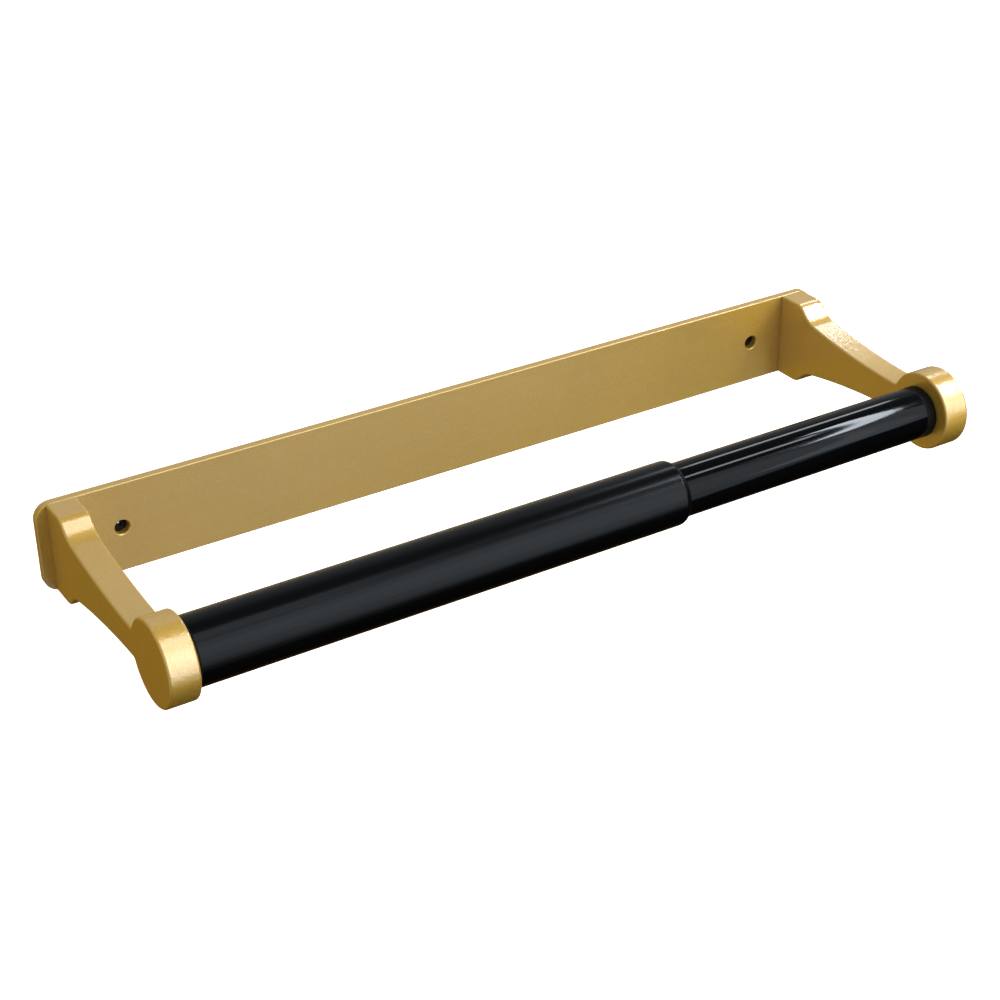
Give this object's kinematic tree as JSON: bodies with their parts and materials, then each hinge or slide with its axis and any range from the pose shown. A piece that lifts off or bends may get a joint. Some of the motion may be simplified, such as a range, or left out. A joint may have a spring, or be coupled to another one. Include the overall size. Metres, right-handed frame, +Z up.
{
  "type": "wall-mounted kitchen roll holder",
  "caption": "Wall-mounted kitchen roll holder: flat rounded plate, two waisted arms ending in discs, and a spring-loaded telescoping roller turning between them.",
  "frame": {"origin": "on the wall, at the centre of the rear pad's back face, behind the middle of the plate", "axes": "+X along the roller from its thick tube to its thin tube, +Y into the wall, +Z up"},
  "size_m": [0.335, 0.1041, 0.034],
  "materials": {
    "brushed_gold": "brushed and bead-blasted, gold anodised",
    "screw_steel": "zinc plated",
    "black_satin": "satin black coating",
    "black_gloss": "gloss black coating",
    "black_plastic": "moulded nylon, matte black",
    "pale_nylon": "moulded nylon, natural",
    "pin_steel": "turned steel",
    "spring_steel": "drawn spring wire",
    "foam": "closed-cell black foam"
  },
  "bodies": {
    "bracket": {"backplate": "brushed_gold", "rear_pad": "foam", "left_arm": "brushed_gold", "right_arm": "brushed_gold", "left_arm_screw_upper": "screw_steel", "left_arm_screw_lower": "screw_steel", "right_arm_screw_upper": "screw_steel", "right_arm_screw_lower": "screw_steel"},
    "outer_roller": {"outer_tube": "black_satin", "outer_end_plug": "black_plastic", "outer_pivot_pin": "pin_steel", "mouth_bush": "pale_nylon", "roller_spring": "spring_steel"},
    "inner_roller": {"inner_tube": "black_gloss", "inner_end_plug": "black_plastic", "inner_pivot_pin": "pin_steel", "slide_guide": "pale_nylon"}
  },
  "joints": [
    {"name": "roller_spin", "type": "hinge", "parent": "bracket", "child": "outer_roller", "pos_m": [0, -0.089, 0], "axis": [1, 0, 0], "continuous": true},
    {"name": "roller_squeeze", "type": "slide", "parent": "outer_roller", "child": "inner_roller", "axis": [-1, 0, 0], "range_m": [0, 0.012], "stiffness_N_per_m": 400, "springref_m": -0.025, "deforming": ["roller_spring"]}
  ]
}
